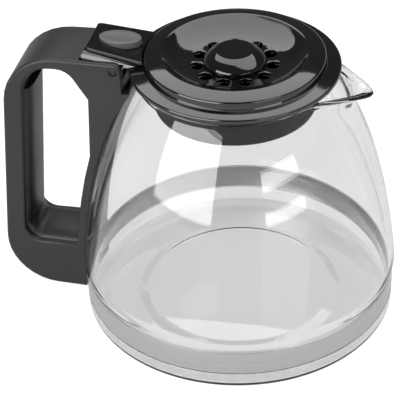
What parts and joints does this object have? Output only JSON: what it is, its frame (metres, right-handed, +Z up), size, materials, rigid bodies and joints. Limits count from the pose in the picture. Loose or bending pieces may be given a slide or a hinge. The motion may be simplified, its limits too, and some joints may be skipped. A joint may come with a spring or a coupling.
{
  "type": "coffee carafe",
  "caption": "Glass coffee carafe with a drawn spout, a strap-clamped D-handle and a hinged drip-through lid that a thumb pad opens.",
  "frame": {"origin": "under the middle of the whole object's box, on the surface it stands on", "axes": "+Z up, +X towards the spout, the handle along -X, the hinge pin along Y"},
  "size_m": [0.188, 0.15, 0.1374],
  "materials": {
    "borosilicate_glass": "polished",
    "stainless_strip": "brushed along its length",
    "satin_black_plastic": "satin moulded",
    "gloss_black_plastic": "glossy moulded",
    "zinc_plated_steel": "zinc plated"
  },
  "bodies": {
    "jug": {"glass_jug": "borosilicate_glass", "clamp_band": "stainless_strip", "clamp_screw": "zinc_plated_steel", "clamp_nut": "zinc_plated_steel", "handle_shell": "satin_black_plastic", "handle_liner": "satin_black_plastic", "liner_screw": "zinc_plated_steel", "hinge_pin": "satin_black_plastic"},
    "lid": {"lid_cover": "gloss_black_plastic", "lid_skirt": "gloss_black_plastic", "lid_lever": "gloss_black_plastic", "lever_cap": "gloss_black_plastic", "thumb_button": "satin_black_plastic", "lever_screw_left": "zinc_plated_steel", "lever_screw_right": "zinc_plated_steel"},
    "knob_clip": {"stem_clip": "stainless_strip"},
    "knob": {"drip_knob": "gloss_black_plastic", "knob_stem": "satin_black_plastic"}
  },
  "joints": [
    {"name": "lid_hinge", "type": "hinge", "parent": "jug", "child": "lid", "pos_m": [-0.03397, 0, 0.128], "axis": [0, -1, 0], "range_deg": [0, 100]},
    {"name": "knob_lift", "type": "slide", "parent": "lid", "child": "knob_clip", "axis": [0, 0, 1], "range_m": [0, 0.005]},
    {"name": "knob_turn", "type": "hinge", "parent": "knob_clip", "child": "knob", "pos_m": [0.01903, 0, 0.129], "axis": [0, 0, 1], "range_deg": [0, 450]}
  ],
  "couplings": [
    {"joint": "knob_turn", "follows": "knob_lift", "rad_per_m": 1570.8}
  ]
}
